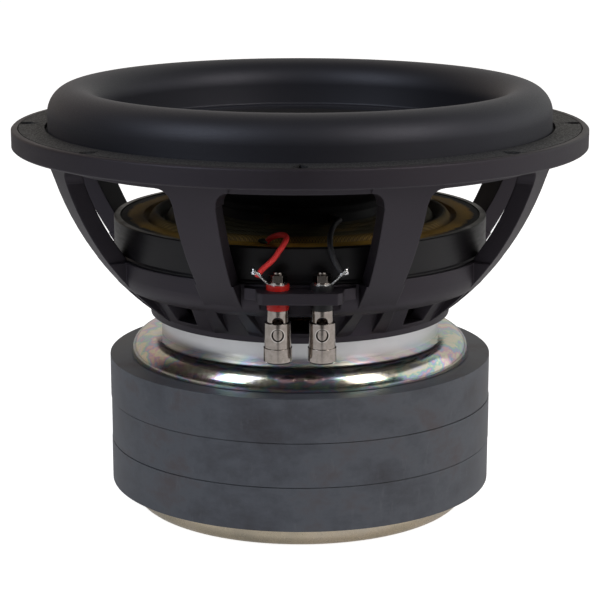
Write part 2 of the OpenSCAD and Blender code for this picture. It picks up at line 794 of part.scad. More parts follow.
module terminal_washers() {
  color([0.80, 0.79, 0.76]) at_all_terminals() tube(stud_d / 2 + seat_gap / 2, washer_r, lug_z + lug_t, washer_h);
}

module lead(route, rear) {
  translate([0, 0, shelf_z]) rotate([0, 0, 180 * rear]) sweep(route, lead_d / 2, 8);
}

red = [0.78, 0.07, 0.06];
black = [0.09, 0.09, 0.10];

frame();
mounting_gasket();
surround();
spider_spacer();
upper_spider();
lower_spider();
adapter_ring();
top_plate();
magnet_upper();
magnet_middle();
magnet_lower();
magnet_adhesive();
back_plate();
pole_piece();
shorting_ring();
frame_screws();
cone();
dust_cap();
coil_former();
inner_winding();
outer_winding();
coil_leadouts();
terminal_nuts();
terminal_washers();
at_terminal(0, -1) post();  // post_front_red
at_terminal(0, 1) post();  // post_front_black
at_terminal(1, -1) post();  // post_rear_red
at_terminal(1, 1) post();  // post_rear_black
at_terminal(0, -1) sleeve();  // sleeve_front_red
at_terminal(0, 1) sleeve();  // sleeve_front_black
at_terminal(1, -1) sleeve();  // sleeve_rear_red
at_terminal(1, 1) sleeve();  // sleeve_rear_black
at_terminal(0, -1) sleeve_cap();  // sleeve_cap_front_red
at_terminal(0, 1) sleeve_cap();  // sleeve_cap_front_black
at_terminal(1, -1) sleeve_cap();  // sleeve_cap_rear_red
at_terminal(1, 1) sleeve_cap();  // sleeve_cap_rear_black
at_terminal(0, -1) spring();  // spring_front_red
at_terminal(0, 1) spring();  // spring_front_black
at_terminal(1, -1) spring();  // spring_rear_red
at_terminal(1, 1) spring();  // spring_rear_black
color(red) at_terminal(0, -1) insulators();  // insulators_front_red
color(black) at_terminal(0, 1) insulators();  // insulators_front_black
color(red) at_terminal(1, -1) insulators();  // insulators_rear_red
color(black) at_terminal(1, 1) insulators();  // insulators_rear_black
at_terminal(0, -1) lug(-1);  // lug_front_red
at_terminal(0, 1) lug(1);  // lug_front_black
at_terminal(1, -1) lug(-1);  // lug_rear_red
at_terminal(1, 1) lug(1);  // lug_rear_black
color(red) lead(red_route, 0);  // lead_front_red
color(black) lead(black_route, 0);  // lead_front_black
color(red) lead(red_route, 1);  // lead_rear_red
color(black) lead(black_route, 1);  // lead_rear_black
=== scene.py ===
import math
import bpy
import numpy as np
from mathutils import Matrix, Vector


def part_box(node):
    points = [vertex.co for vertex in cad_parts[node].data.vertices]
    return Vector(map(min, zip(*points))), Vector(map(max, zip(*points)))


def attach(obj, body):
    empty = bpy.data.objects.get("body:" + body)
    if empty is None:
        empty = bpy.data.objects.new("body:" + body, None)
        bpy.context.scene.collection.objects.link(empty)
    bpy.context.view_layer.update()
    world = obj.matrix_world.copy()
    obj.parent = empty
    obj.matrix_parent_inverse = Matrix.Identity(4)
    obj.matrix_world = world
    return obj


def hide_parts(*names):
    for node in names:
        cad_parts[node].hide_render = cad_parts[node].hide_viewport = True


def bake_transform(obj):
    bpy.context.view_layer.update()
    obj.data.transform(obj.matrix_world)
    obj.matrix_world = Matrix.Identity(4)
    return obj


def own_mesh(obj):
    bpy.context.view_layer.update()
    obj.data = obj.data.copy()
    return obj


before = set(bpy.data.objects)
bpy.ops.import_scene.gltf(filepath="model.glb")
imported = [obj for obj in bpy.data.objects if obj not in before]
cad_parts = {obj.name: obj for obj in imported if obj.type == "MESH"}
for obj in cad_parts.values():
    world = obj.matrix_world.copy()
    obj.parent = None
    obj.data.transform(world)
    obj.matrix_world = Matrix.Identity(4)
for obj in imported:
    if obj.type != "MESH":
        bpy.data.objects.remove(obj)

# %% [markdown]
# # A car subwoofer driver
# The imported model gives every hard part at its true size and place. This script gives each one its
# finish, and models again the soft and fine pieces: surround, cone, dust cap, spiders, leads and
# springs. Solder, tinsel and stitches are added where the leads end.
# The record frame is used throughout: metres, +Z from the magnet to the cone, front terminals on -Y.

MM = 0.001
TERMINAL_X, TERMINAL_Y = 9.5, 92.5      # where each push terminal's axis stands, in mm
TERMINALS = {"front_red": (-1, -1), "front_black": (1, -1), "rear_red": (1, 1), "rear_black": (-1, 1)}
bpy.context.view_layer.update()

# %% [markdown]
# ## The camera
# The driver stands upright and is seen from a little above, from about 0.95 m away with a long lens,
# so the flange shows its top and the magnet stack its side. The lens is shifted a little, because the
# driver stands a little low in the frame.

# %% The camera
CAMERA_PLACE = (0.0, -0.9367, 0.3118)
CAMERA_DOWN = 13.68           # degrees below the horizon
LENS, SENSOR = 121.58, 36.0
LENS_SHIFT = 0.0402

camera_data = bpy.data.cameras.new("camera")
camera_data.lens = LENS
camera_data.sensor_width = SENSOR
camera_data.shift_y = LENS_SHIFT
camera = bpy.data.objects.new("camera", camera_data)
camera.location = CAMERA_PLACE
camera.rotation_euler = (math.radians(90 - CAMERA_DOWN), 0, 0)
bpy.context.scene.collection.objects.link(camera)
bpy.context.scene.camera = camera
print("camera at", tuple(camera.location), "lens", camera_data.lens)

# %% [markdown]
# ## Tools for modelling
# Most parts of a driver are turned or pressed round, so they are one outline spun about an axis. The
# outline starts as a single point that is extruded from corner to corner, as one does by hand with
# the E key, and the Spin operator then turns it. Merging the doubled seam and recalculating the
# normals closes the mesh and makes its faces point outwards.

# %% A helper that starts a new object as one point in edit mode
def start_point(name, at):
    if bpy.context.object and bpy.context.object.mode != "OBJECT":
        bpy.ops.object.mode_set(mode="OBJECT")
    bpy.ops.object.select_all(action="DESELECT")
    bpy.ops.mesh.primitive_plane_add(size=MM, location=(0, 0, 0))
    obj = bpy.context.object
    obj.name = obj.data.name = name
    bpy.ops.object.mode_set(mode="EDIT")
    bpy.ops.mesh.select_all(action="SELECT")
    bpy.ops.mesh.merge(type="CENTER")
    bpy.ops.transform.translate(value=at)
    return obj


# %% A helper that draws an outline and spins it
def arc(centre, radius, first, last, count):
    """Points (radius from the axis, height), in mm, round an arc given in degrees."""
    steps = [first + (last - first) * i / count for i in range(count + 1)]
    return [(centre[0] + radius * math.cos(math.radians(a)),
             centre[1] + radius * math.sin(math.radians(a))) for a in steps]


def turned(name, outline, steps):
    """Spins a closed outline of (radius, height) points in mm about the Z axis."""
    points = [*outline, outline[0]]
    obj = start_point(name, (points[0][0] * MM, 0, points[0][1] * MM))
    for (r0, z0), (r1, z1) in zip(points, points[1:]):
        bpy.ops.mesh.extrude_region_move(
            TRANSFORM_OT_translate={"value": ((r1 - r0) * MM, 0, (z1 - z0) * MM)})
    bpy.ops.mesh.select_all(action="SELECT")
    bpy.ops.mesh.spin(steps=steps, angle=2 * math.pi, center=(0, 0, 0), axis=(0, 0, 1))
    bpy.ops.mesh.select_all(action="SELECT")
    bpy.ops.mesh.remove_doubles(threshold=1e-6)
    bpy.ops.mesh.normals_make_consistent(inside=False)
    bpy.ops.object.mode_set(mode="OBJECT")
    bpy.ops.object.shade_smooth_by_angle(angle=math.radians(35))
    print(name, "has", len(obj.data.polygons), "faces")
    return obj


# %% Helpers that place a finished mesh and copy it
def only(obj):
    bpy.ops.object.select_all(action="DESELECT")
    obj.select_set(True)
    bpy.context.view_layer.objects.active = obj


def placed(obj, at=(0, 0, 0), turn=0.0):
    """Moves the mesh itself, so that the object stays at the origin, unturned."""
    only(obj)
    obj.rotation_euler = (0, 0, math.radians(turn))
    obj.location = Vector(at) * MM
    bpy.ops.object.transform_apply(location=True, rotation=True, scale=True)
    return obj


def copied(obj, name):
    twin = obj.copy()
    twin.data = obj.data.copy()
    twin.name = twin.data.name = name
    bpy.context.scene.collection.objects.link(twin)
    return twin


# %% [markdown]
# ## Tools for finishes
# Every finish is a small node tree on Object coordinates, in metres, so its grain keeps its real size
# and stays with the part. A helper makes nodes by their type and joins them in one call, which keeps
# each finish short enough to read as a recipe.

# %% A small node kit
class Finish:
    def __init__(self, name):
        self.material = bpy.data.materials.new(name)
        self.material.use_nodes = True
        self.tree = self.material.node_tree
        self.shader = self.tree.nodes["Principled BSDF"]
        self.place = self.node("ShaderNodeTexCoord").outputs["Object"]

    def node(self, kind, settings=None, **inputs):
        made = self.tree.nodes.new(kind)
        for key, value in (settings or {}).items():
            setattr(made, key, value)
        for key, value in inputs.items():
            self.put(made, int(key[1:]) if key[0] == "i" and key[1:].isdigit() else key, value)
        return made

    def put(self, node, key, value):
        name = key.replace("_", " ") if isinstance(key, str) else key
        socket = node.inputs[name]
        if isinstance(value, bpy.types.NodeSocket):
            self.tree.links.new(value, socket)
        else:
            socket.default_value = value

    def set(self, **inputs):
        for key, value in inputs.items():
            self.put(self.shader, key, value)

    def stretched(self, scale):
        return self.node("ShaderNodeMapping", Vector=self.place, Scale=scale).outputs[0]

    def noise(self, scale, detail=3.0, rough=0.55, place=None):
        made = self.node("ShaderNodeTexNoise", Vector=place or self.place, Scale=scale,
                         Detail=detail, Roughness=rough)
        return made.outputs["Fac"]

    def cells(self, scale, feature="F1"):
        made = self.node("ShaderNodeTexVoronoi", {"feature": feature}, Vector=self.place, Scale=scale)
        return made.outputs["Distance"]

    def math(self, kind, a, b=0.0):
        return self.node("ShaderNodeMath", {"operation": kind}, i0=a, i1=b).outputs[0]

    def spread(self, value, low, high, to_low, to_high):
        return self.node("ShaderNodeMapRange", i0=value, i1=low, i2=high, i3=to_low,
                         i4=to_high).outputs[0]

    def ramp(self, value, stops):
        made = self.node("ShaderNodeValToRGB", Fac=value)
        band = made.color_ramp
        while len(band.elements) < len(stops):
            band.elements.new(0.5)
        for element, (at, colour) in zip(band.elements, stops):
            element.position = at
            element.color = (*colour, 1)
        return made.outputs["Color"]

    def mix(self, share, a, b):
        made = self.node("ShaderNodeMix", {"data_type": "RGBA"}, i0=share)
        for index, colour in ((6, a), (7, b)):
            value = colour if isinstance(colour, bpy.types.NodeSocket) else (*colour, 1)
            self.put(made, index, value)
        return made.outputs[2]

    def bump(self, height, depth, strength=1.0, below=None):
        made = self.node("ShaderNodeBump", Height=height, Distance=depth * MM, Strength=strength)
        if below is not None:
            self.put(made, "Normal", below)
        return made.outputs["Normal"]

    def soft_edge(self, radius):
        return self.node("ShaderNodeBevel", {"samples": 6}, Radius=radius * MM).outputs["Normal"]

    def split(self, vector=None):
        return self.node("ShaderNodeSeparateXYZ", Vector=vector or self.place).outputs


def worn(obj, finish):
    obj.data.materials.clear()
    obj.data.materials.append(finish.material)
    return obj


def finish_nodes(finish, *names):
    for name in names:
        worn(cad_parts[name], finish)


# %% [markdown]
# ## The cast frame's powder coat
# The frame is cast aluminium under a satin black powder coat. Powder melts into a skin with a fine
# orange peel, and it is a warm, slightly purple grey where light grazes it. Two noises of different
# size give the peel, and a bevel node rounds the edges for the light, as the thick coat does.

# %% Powder coat
coat = Finish("powder_coat")
peel = coat.noise(1500, 2.0)
cloud = coat.noise(35, 3.0)
coat_normal = coat.bump(peel, 0.03, 0.5, coat.bump(coat.noise(420), 0.05, 0.35, coat.soft_edge(0.9)))
coat.set(
    Base_Color=coat.mix(cloud, (0.0048, 0.0036, 0.0052), (0.0078, 0.0062, 0.0082)),
    Roughness=coat.spread(coat.math("ADD", peel, cloud), 0.6, 1.4, 0.46, 0.58),
    Normal=coat_normal)
coat.shader.inputs["Specular Tint"].default_value = (1.0, 0.91, 1.05, 1)
finish_nodes(coat, "frame")
print("powder coat on the frame")

# %% [markdown]
# ## Gasket
# The gasket is a dark grey closed-cell rubber with a coarse grain that catches the light in specks.

# %% Gasket finish
grain = Finish("gasket_grain")
specks = grain.cells(1100)
grain.set(
    Base_Color=grain.ramp(specks, [(0.0, (0.05, 0.05, 0.055)), (0.25, (0.022, 0.022, 0.024)),
                                   (0.8, (0.009, 0.009, 0.010))]),
    Roughness=grain.spread(specks, 0.0, 0.7, 0.42, 0.8),
    Normal=grain.bump(specks, 0.12, 0.7, grain.bump(grain.noise(2500), 0.05, 0.6)))
finish_nodes(grain, "mounting_gasket")

# %% [markdown]
# ## Moulded black plastic
# The ring between the two spiders is a satin moulding with very faint flow lines round it.

# %% Moulded plastic
moulded = Finish("moulded_black")
flow = moulded.noise(90, 3.0, 0.6, moulded.stretched((1, 1, 9)))
moulded.set(
    Base_Color=moulded.mix(flow, (0.0026, 0.0020, 0.0028), (0.0048, 0.0040, 0.0052)),
    Roughness=moulded.spread(flow, 0.3, 0.7, 0.34, 0.46),
    Normal=moulded.bump(moulded.noise(1800), 0.02, 0.35, moulded.soft_edge(0.3)))
moulded.shader.inputs["Specular IOR Level"].default_value = 0.34
finish_nodes(moulded, "spider_spacer")

# %% [markdown]
# ## Zinc-plated steel
# The top plate is plated with zinc and passivated. The film is thinner than a wavelength, so it
# shows pale yellow, pink, green and blue patches that drift over a bright metal. A slow noise picks
# the film's thickness and a colour ramp turns thickness into a tint.

# %% Zinc plating
RAINBOW = [(0.0, (0.44, 0.47, 0.42)), (0.26, (0.60, 0.56, 0.44)), (0.40, (0.58, 0.38, 0.44)),
           (0.50, (0.36, 0.40, 0.56)), (0.60, (0.34, 0.52, 0.44)), (0.72, (0.62, 0.58, 0.44)),
           (1.0, (0.56, 0.54, 0.56))]


def zinc(name, tints, rough, patch=22.0):
    film = Finish(name)
    slow = film.noise(patch, 4.0, 0.62, film.stretched((1, 1, 2.2)))
    drift = film.noise(patch * 5, 3.0)
    thickness = film.math("ADD", film.math("MULTIPLY", slow, 0.86),
                          film.math("MULTIPLY", drift, 0.14))
    scuffs = film.noise(700, 3.0, 0.6, film.stretched((1, 1, 0.3)))
    film.set(
        Base_Color=film.ramp(film.spread(thickness, 0.36, 0.64, 0.0, 1.0), tints),
        Metallic=1.0,
        Roughness=film.spread(scuffs, 0.3, 0.75, rough, rough + 0.1),
        Normal=film.bump(film.noise(160), 0.012, 0.25, film.bump(scuffs, 0.006, 0.3)))
    return film


top_zinc = zinc("zinc_rainbow", RAINBOW, 0.13, 38.0)
finish_nodes(top_zinc, "top_plate", "pole_piece")
TAN = [(0.0, (0.40, 0.35, 0.27)), (0.45, (0.50, 0.43, 0.32)), (0.6, (0.53, 0.45, 0.34)),
       (1.0, (0.46, 0.42, 0.36))]
back_zinc = zinc("zinc_tan", TAN, 0.22, 14.0)
finish_nodes(back_zinc, "back_plate")

# %% [markdown]
# ## Turned aluminium
# The adapter ring is turned on a lathe: very fine rings run round it, in a light grey metal.

# %% Turned aluminium
lathe_cut = Finish("turned_aluminium")
rings = lathe_cut.noise(1.0, 2.0, 0.5, lathe_cut.stretched((60, 60, 5200)))
patchy = lathe_cut.noise(60, 3.0)
lathe_cut.set(
    Base_Color=lathe_cut.mix(patchy, (0.60, 0.60, 0.61), (0.72, 0.72, 0.73)),
    Metallic=1.0,
    Roughness=lathe_cut.spread(rings, 0.3, 0.7, 0.34, 0.46),
    Normal=lathe_cut.bump(rings, 0.012, 0.35))
finish_nodes(lathe_cut, "adapter_ring", "shorting_ring")

# %% [markdown]
# ## Ferrite
# Sintered ferrite is a dark blue-grey ceramic. Its sides are as fired: a fine grain, faint
# purple-brown clouds, and small lighter rubs where the rings have touched something.

# %% Ferrite
ferrite = Finish("ferrite")
cloudy = ferrite.noise(26, 6.0, 0.68, ferrite.stretched((1, 1, 1.5)))
tone = ferrite.ramp(cloudy, [(0.34, (0.030, 0.030, 0.038)), (0.46, (0.046, 0.050, 0.062)),
                             (0.56, (0.062, 0.068, 0.082)), (0.68, (0.060, 0.052, 0.058))])
rubs = ferrite.noise(240, 6.0, 0.75, ferrite.stretched((1, 1, 0.25)))
rub_share = ferrite.spread(rubs, 0.58, 0.74, 0.0, 0.30)
ferrite_grain = ferrite.noise(2600, 2.0)
ferrite_dents = ferrite.bump(ferrite.noise(300, 4.0), 0.04, 0.25, ferrite.soft_edge(0.35))
ferrite.set(
    Base_Color=ferrite.mix(rub_share, tone, (0.12, 0.125, 0.135)),
    Roughness=ferrite.spread(cloudy, 0.3, 0.7, 0.46, 0.6),
    Normal=ferrite.bump(ferrite_grain, 0.03, 0.4, ferrite_dents))
finish_nodes(ferrite, "magnet_upper", "magnet_middle", "magnet_lower")

glue = Finish("dark_epoxy")
glue.set(Base_Color=glue.mix(glue.noise(300), (0.008, 0.008, 0.009), (0.018, 0.017, 0.018)),
         Roughness=glue.spread(glue.noise(500), 0.3, 0.7, 0.25, 0.5),
         Normal=glue.bump(glue.noise(900), 0.05, 0.5))
finish_nodes(glue, "magnet_adhesive")

# %% [markdown]
# ## Nickel terminals
# The push terminals are turned from brass and nickel plated: bright, a little warm, with the faint
# rings of turning and a little tarnish. Round each sleeve's cable hole a painted shade and a painted
# highlight are added.

# %% Nickel
SLEEVE_HOLE = (TERMINAL_X * MM, 0.1025, 0.0025)     # distance from the middle plane, height and radius


def nickel(name, hole=None):
    made = Finish(name)
    tarnish = made.noise(450, 4.0, 0.6)
    tool_rings = made.noise(1.0, 1.0, 0.5, made.stretched((80, 80, 6000)))
    tone = made.ramp(tarnish, [(0.3, (0.27, 0.24, 0.21)), (0.55, (0.36, 0.32, 0.29)),
                               (0.75, (0.42, 0.38, 0.35))])
    if hole:
        # The cable hole: painted shade over the hole's edge, and a painted highlight in a ring round it
        side, low, radius = hole
        across = made.math("SUBTRACT", made.math("ABSOLUTE", made.split()[0]), side)
        up = made.math("SUBTRACT", made.split()[2], low)
        far = made.math("SQRT", made.math("ADD", made.math("MULTIPLY", across, across),
                                          made.math("MULTIPLY", up, up)))
        # painted shade: a dark ring at the hole's edge
        painted_hole_shade = made.math("MULTIPLY", made.spread(far, radius - 0.0004, radius - 0.0001, 0.0, 1.0),
                         made.spread(far, radius + 0.0001, radius + 0.0003, 1.0, 0.0))
        # painted highlight: a bright ring just outside the hole
        painted_hole_highlight = made.math("MULTIPLY", made.spread(far, radius + 0.0002, radius + 0.0004, 0.0, 0.8),
                          made.spread(far, radius + 0.0005, radius + 0.0007, 1.0, 0.0))
        tone = made.mix(painted_hole_highlight, made.mix(painted_hole_shade, tone, (0.03, 0.027, 0.025)), (0.62, 0.59, 0.55))
    made.set(Base_Color=tone, Metallic=1.0,
             Roughness=made.spread(tarnish, 0.3, 0.7, 0.06, 0.13),
             Normal=made.bump(tool_rings, 0.006, 0.3, made.soft_edge(0.25)))
    return made


warm_nickel = nickel("warm_nickel")
finish_nodes(warm_nickel, "terminal_nuts", "terminal_washers",
             *[f"{part}_{side}" for part in ("post", "sleeve_cap") for side in TERMINALS])
finish_nodes(nickel("holed_nickel", SLEEVE_HOLE), *["sleeve_" + side for side in TERMINALS])

# %% Coloured plastics, screws, former and copper
def plastic(name, dark, light, rough):
    made = Finish(name)
    shade = made.noise(260, 3.0)
    made.set(Base_Color=made.mix(shade, dark, light),
             Roughness=made.spread(shade, 0.3, 0.7, rough, rough + 0.12),
             Normal=made.bump(made.noise(1500), 0.015, 0.3, made.soft_edge(0.2)))
    made.shader.inputs["Specular IOR Level"].default_value = 0.3
    return made


red_plastic = plastic("red_moulding", (0.42, 0.012, 0.010), (0.58, 0.022, 0.016), 0.25)
black_plastic = plastic("black_moulding", (0.010, 0.010, 0.011), (0.020, 0.020, 0.021), 0.28)
for side in TERMINALS:
    finish_nodes(red_plastic if side.endswith("red") else black_plastic, "insulators_" + side)
black_oxide = plastic("black_oxide", (0.012, 0.012, 0.013), (0.03, 0.03, 0.032), 0.35)
finish_nodes(black_oxide, "frame_screws")
black_former = plastic("black_former", (0.010, 0.010, 0.011), (0.022, 0.020, 0.020), 0.4)
finish_nodes(black_former, "coil_former")

copper = Finish("enamelled_wire")
wire = copper.node("ShaderNodeTexWave", {"bands_direction": "Z"}, Vector=copper.place, Scale=160.0,
                   Distortion=0.0).outputs["Fac"]
copper.set(Base_Color=copper.ramp(wire, [(0.0, (0.18, 0.05, 0.02)), (0.5, (0.62, 0.26, 0.10))]),
           Metallic=0.9, Roughness=copper.spread(copper.noise(600), 0.3, 0.7, 0.22, 0.34),
           Normal=copper.bump(wire, 0.2, 0.6))
finish_nodes(copper, "inner_winding", "outer_winding")
lacquer = plastic("lacquered_strip", (0.030, 0.014, 0.008), (0.060, 0.026, 0.014), 0.3)
finish_nodes(lacquer, "coil_leadouts")

tinned = Finish("tinned_metal")
tin_wave = tinned.noise(900, 4.0, 0.6)
tinned.set(Base_Color=tinned.mix(tin_wave, (0.55, 0.55, 0.54), (0.80, 0.80, 0.79)), Metallic=1.0,
           Roughness=tinned.spread(tin_wave, 0.3, 0.7, 0.18, 0.36),
           Normal=tinned.bump(tin_wave, 0.05, 0.5, tinned.soft_edge(0.15)))
finish_nodes(tinned, *["lug_" + side for side in TERMINALS])

# %% [markdown]
# ## The soft parts and the cone
# The surround and the spiders are fixed at their outer edge and follow the cone at their inner edge.
# The helper below bakes a part's place into its mesh and works out, for each point, a share that
# depends only on its distance from the axis; the share is not stored, so the parts don't move with the
# cone.

# %% A helper that bakes a soft ring's place into its mesh and works out each point's share
def flexes(obj, outer, inner):
    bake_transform(obj)
    points = np.array([v.co for v in obj.data.vertices])
    radius = np.hypot(points[:, 0], points[:, 1]) / MM
    share = np.clip((outer - radius) / (outer - inner), 0, 1)
    share = share * share * (3 - 2 * share)
    return obj


# %% [markdown]
# ## The surround
# The surround is one thick half roll of foam with a leathery skin. It stands well above the flange
# on a straight leg and ends in two thin lips, one glued in the frame's recess and one on the cone.
# The outline is drawn once round its skin and spun.

# %% Surround
SEAT = 178.0                  # height of the gasket seat on the flange
LIP = 176.6                   # height of the recess that holds the lip
ROLL_OUT, ROLL = 116.5, 12.3  # outer radius of the roll, and the roll's own radius
ROLL_MID = ROLL_OUT - ROLL
ROLL_IN = ROLL_OUT - 2 * ROLL
ROLL_Z = SEAT + 8.4
SKIN = 1.6
CONE_RIM, CONE_RIM_Z = 91.4, 175.3

surround_line = (
    [(122.2, LIP), (122.2, LIP + 0.9), (121.8, LIP + 1.3), (ROLL_OUT + 1.2, LIP + 1.3)]
    + arc((ROLL_OUT + 1.2, LIP + 2.5), 1.2, 270, 180, 6)
    + arc((ROLL_MID, ROLL_Z), ROLL, 0, 180, 72)
    + arc((ROLL_IN - 1.2, CONE_RIM_Z + 2.5), 1.2, 0, -90, 6)
    + [(86.4, CONE_RIM_Z + 1.3), (85.9, CONE_RIM_Z + 0.9), (85.9, CONE_RIM_Z),
       (ROLL_IN + SKIN - 0.3, CONE_RIM_Z), (ROLL_IN + SKIN, CONE_RIM_Z + 0.4)]
    + arc((ROLL_MID, ROLL_Z), ROLL - SKIN, 180, 0, 40)
    + [(ROLL_OUT - SKIN, LIP + 0.4), (ROLL_OUT - SKIN + 0.3, LIP)])
surround = turned("foam_surround", surround_line, 220)

foam = Finish("foam_skin")
creases = foam.cells(900, "DISTANCE_TO_EDGE")
fine = foam.noise(2200, 3.0)
broad = foam.noise(40, 3.0)
foam.set(
    Base_Color=foam.mix(broad, (0.0046, 0.0046, 0.0066), (0.0074, 0.0074, 0.0100)),
    Roughness=foam.spread(fine, 0.3, 0.7, 0.46, 0.60),
    Normal=foam.bump(creases, 0.05, 0.35, foam.bump(fine, 0.03, 0.4)))
foam.shader.inputs["Specular IOR Level"].default_value = 0.48
foam.shader.inputs["Specular Tint"].default_value = (0.95, 0.95, 1.08, 1)
foam.shader.inputs["Sheen Weight"].default_value = 0.03
foam.shader.inputs["Sheen Roughness"].default_value = 0.5
foam.shader.inputs["Sheen Tint"].default_value = (0.75, 0.8, 1.0, 1)
worn(surround, foam)
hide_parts("surround")
flexes(surround, 116.5, 92.0)

# %% [markdown]
# ## The cone and its dust cap
# The cone is pressed from a stiff black composite. It runs from a collar on the coil former to a flat
# rim under the surround, and a domed cap closes it. Both are thin shells, spun with their real wall.

# %% Cone
NECK, NECK_TOP, WALL = 144.0, 148.0, 1.3
COLLAR = 38.6
cone_line = (
    [(COLLAR, NECK), (COLLAR + 1.1, NECK), (COLLAR + WALL, NECK + 0.3), (COLLAR + WALL, NECK_TOP - 1.6)]
    + arc((COLLAR + WALL + 1.6, NECK_TOP - 1.4), 1.5, 175, 122, 4)
    + [(86.2, CONE_RIM_Z - 1.9), (87.2, CONE_RIM_Z - 1.3), (CONE_RIM - 0.3, CONE_RIM_Z - 1.3),
       (CONE_RIM, CONE_RIM_Z - 1.0), (CONE_RIM, CONE_RIM_Z), (85.9, CONE_RIM_Z),
       (COLLAR + WALL, NECK_TOP), (COLLAR, NECK_TOP)])
cone = turned("pressed_cone", cone_line, 200)

pulp = Finish("pressed_composite")
fibres = pulp.noise(650, 6.0, 0.7)
pulp.set(Base_Color=pulp.mix(fibres, (0.0045, 0.0042, 0.0048), (0.013, 0.012, 0.0135)),
         Roughness=pulp.spread(fibres, 0.3, 0.7, 0.5, 0.68),
         Normal=pulp.bump(fibres, 0.08, 0.6))
worn(cone, pulp)
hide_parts("cone")
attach(cone, "moving_cone")

# %% Dust cap
CAP_R, CAP_RISE = 56.0, 14.0
DOME = (CAP_R ** 2 + CAP_RISE ** 2) / (2 * CAP_RISE)     # radius of the sphere it is part of
half = math.degrees(math.asin(CAP_R / DOME))
cap_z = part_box("dust_cap")[0].z / MM
middle = (0, cap_z + CAP_RISE - DOME)
cap_line = (arc(middle, DOME, 90, 90 - half, 40)
            + arc(middle, DOME - WALL, 90 - half * 0.985, 90, 40))
dust_cap = turned("dome", cap_line, 160)
worn(dust_cap, pulp)
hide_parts("dust_cap")
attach(dust_cap, "moving_cone")

# %% [markdown]
# ## The spiders
# A spider is a disc of mustard cotton cloth, soaked in resin and pressed into rings, so that it holds
# the coil in the middle of the gap and still lets it slide. The outline is a wave with the cloth's
# thickness. The weave runs straight across the disc, as in the cloth it was cut from.

# %% Spider
FORMER = 38.5
CLOTH = 0.6
ROLLS = 4


def spider(name, height, rolls_out, edge):
    inner = FORMER + 3.5
    centre_line = [(FORMER + 0.75, height + 2.1), (FORMER + 0.85, height + 0.9),
                   (FORMER + 1.7, height + 0.1)]
    samples = 96
    wave = (rolls_out - inner) / ROLLS
    swing = wave / 4 * 0.94
    for i in range(samples + 1):
        r = inner + (rolls_out - inner) * i / samples
        turn = 2 * math.pi * ROLLS * i / samples
        s = math.sin(turn)
        rounded = math.copysign(abs(s) ** 0.75, s)
        centre_line.append((r, height + swing * rounded))
    centre_line += [(rolls_out + 0.8, height), (edge, height)]
    line = np.array(centre_line)
    ahead = np.gradient(line, axis=0)
    ahead /= np.linalg.norm(ahead, axis=1)[:, None]
    side = np.stack([-ahead[:, 1], ahead[:, 0]], 1) * CLOTH / 2
    outline = [tuple(p) for p in line + side] + [tuple(p) for p in (line - side)[::-1]]
    return turned(name, outline, 144)


cloth = Finish("spider_cloth")
x, y, _ = cloth.split()
THREAD_PITCH = 0.00128        # metres from one thread to the next of the same kind


def thread(axis):
    return cloth.math("SINE", cloth.math("MULTIPLY", axis, 2 * math.pi / THREAD_PITCH))


warp, weft = thread(x), thread(y)
weave = cloth.math("MULTIPLY", warp, weft)
weave_height = cloth.spread(weave, -1.0, 1.0, 0.0, 1.0)
stain = cloth.noise(55, 4.0)
cloth_tone = cloth.mix(cloth.math("MULTIPLY", weave_height, 0.75),
                       (0.13, 0.058, 0.004), (0.98, 0.56, 0.055))
from_axis = cloth.math("SQRT", cloth.math("ADD", cloth.math("MULTIPLY", x, x),
                                          cloth.math("MULTIPLY", y, y)))
darker_inside_and_stains = cloth.spread(from_axis, 0.066, 0.076, 0.92, 0.0)      # darker over the waves than at the rim
# random stains add to the darkening over the waves
darker_inside_and_stains = cloth.math("ADD", darker_inside_and_stains, cloth.spread(stain, 0.35, 0.7, 0.0, 0.25))
not_in_front = cloth.spread(y, -0.066, -0.048, 0.0, 1.0)              # a near-black band over the rim's outer edge, left out in front
band_edge = cloth.math("ADD", from_axis, cloth.math("MULTIPLY", cloth.noise(120, 3.0), 0.005))
dark_outer_band = cloth.math("MULTIPLY", not_in_front, cloth.spread(band_edge, 0.0815, 0.0835, 0.0, 1.0))
cloth_tone = cloth.mix(darker_inside_and_stains, cloth_tone, (0.042, 0.035, 0.012))
cloth.set(Base_Color=cloth.mix(dark_outer_band, cloth_tone, (0.012, 0.011, 0.013)),
          Roughness=cloth.spread(weave_height, 0.0, 1.0, 0.85, 0.6),
          Normal=cloth.bump(weave_height, 0.18, 0.8, cloth.bump(cloth.noise(1800), 0.05, 0.4)))

for name, node, height, rolls_out, edge in (
        ("cloth_spider_upper", "upper_spider", 137.6, 73.5, 83.8),
        ("cloth_spider_lower", "lower_spider", 122.85, 71.0, 78.1)):
    disc = spider(name, height, rolls_out, edge)
    worn(disc, cloth)
    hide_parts(node)
    flexes(disc, rolls_out, FORMER + 1.5)
